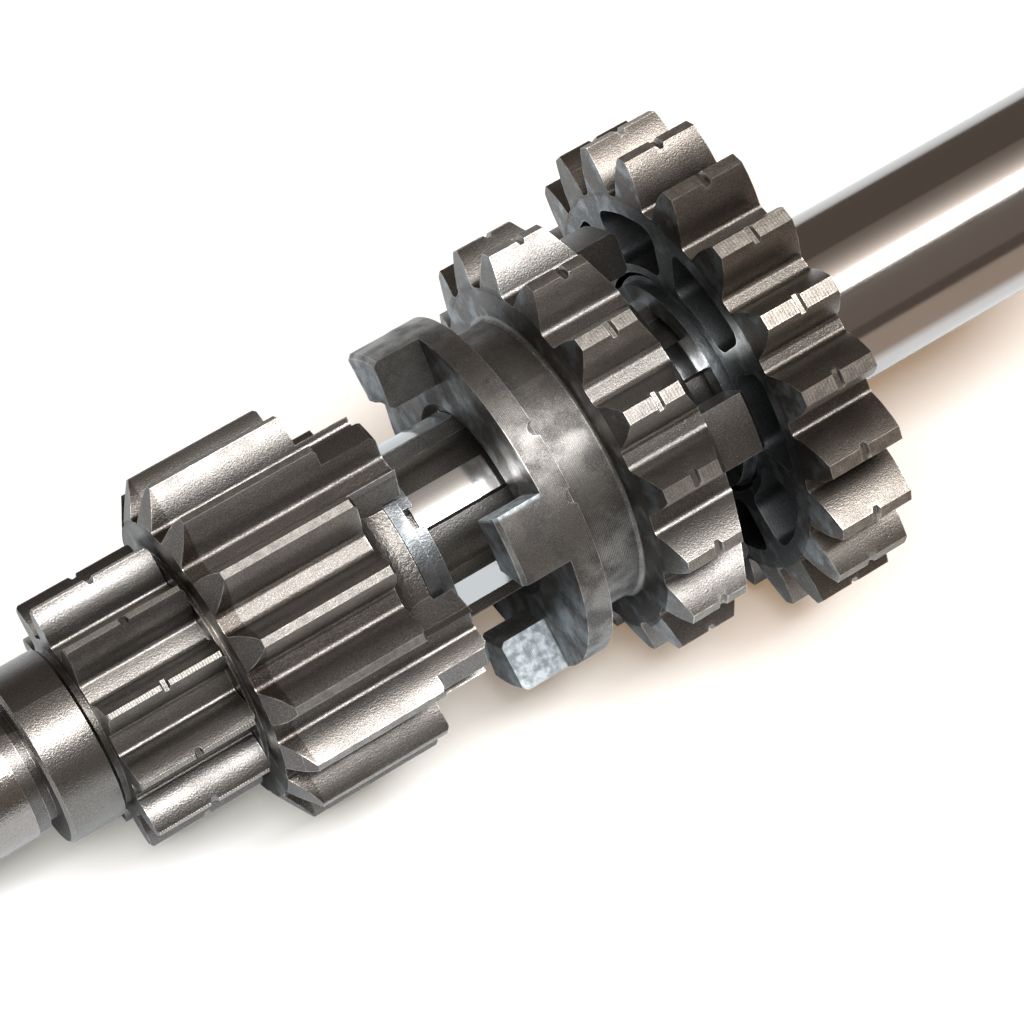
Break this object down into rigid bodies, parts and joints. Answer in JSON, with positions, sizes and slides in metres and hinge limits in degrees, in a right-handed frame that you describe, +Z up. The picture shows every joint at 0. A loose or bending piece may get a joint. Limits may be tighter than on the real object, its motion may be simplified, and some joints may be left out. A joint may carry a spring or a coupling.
{
  "type": "transmission main shaft",
  "caption": "Small gearbox main shaft: pinion cut on the shaft, free gears, a splined sliding dog gear with fork groove, thrust washers, snap rings and a polished sleeve.",
  "frame": {"origin": "on the shaft's axis, middle of the left bearing journal", "axes": "+X along the shaft towards the largest gear and the polished sleeve, +Z up, -Y the side that the picture shows"},
  "size_m": [0.132, 0.0452, 0.0452],
  "materials": {
    "main_shaft": "satin",
    "spacer_sleeve": "polished",
    "second_gear_thrust_washer": "satin",
    "second_gear_circlip": "satin",
    "fourth_gear_circlip": "satin",
    "fourth_gear_thrust_washer": "satin",
    "fourth_gear_bush": "satin",
    "fourth_gear_outer_washer": "satin",
    "second_gear": "satin",
    "third_gear": "satin",
    "fourth_gear": "satin"
  },
  "bodies": {
    "shaft": {"main_shaft": "main_shaft", "spacer_sleeve": "spacer_sleeve", "second_gear_thrust_washer": "second_gear_thrust_washer", "second_gear_circlip": "second_gear_circlip", "fourth_gear_circlip": "fourth_gear_circlip", "fourth_gear_thrust_washer": "fourth_gear_thrust_washer", "fourth_gear_bush": "fourth_gear_bush", "fourth_gear_outer_washer": "fourth_gear_outer_washer"},
    "second": {"second_gear": "second_gear"},
    "third": {"third_gear": "third_gear"},
    "fourth": {"fourth_gear": "fourth_gear"}
  },
  "joints": [
    {"name": "second_gear_spin", "type": "hinge", "parent": "shaft", "child": "second", "pos_m": [0.033, 0, 0], "axis": [1, 0, 0], "continuous": true},
    {"name": "fourth_gear_spin", "type": "hinge", "parent": "shaft", "child": "fourth", "pos_m": [0.0795, 0, 0], "axis": [1, 0, 0], "continuous": true},
    {"name": "third_gear_slide", "type": "slide", "parent": "shaft", "child": "third", "axis": [1, 0, 0], "range_m": [-0.0072, 0.0046]}
  ]
}
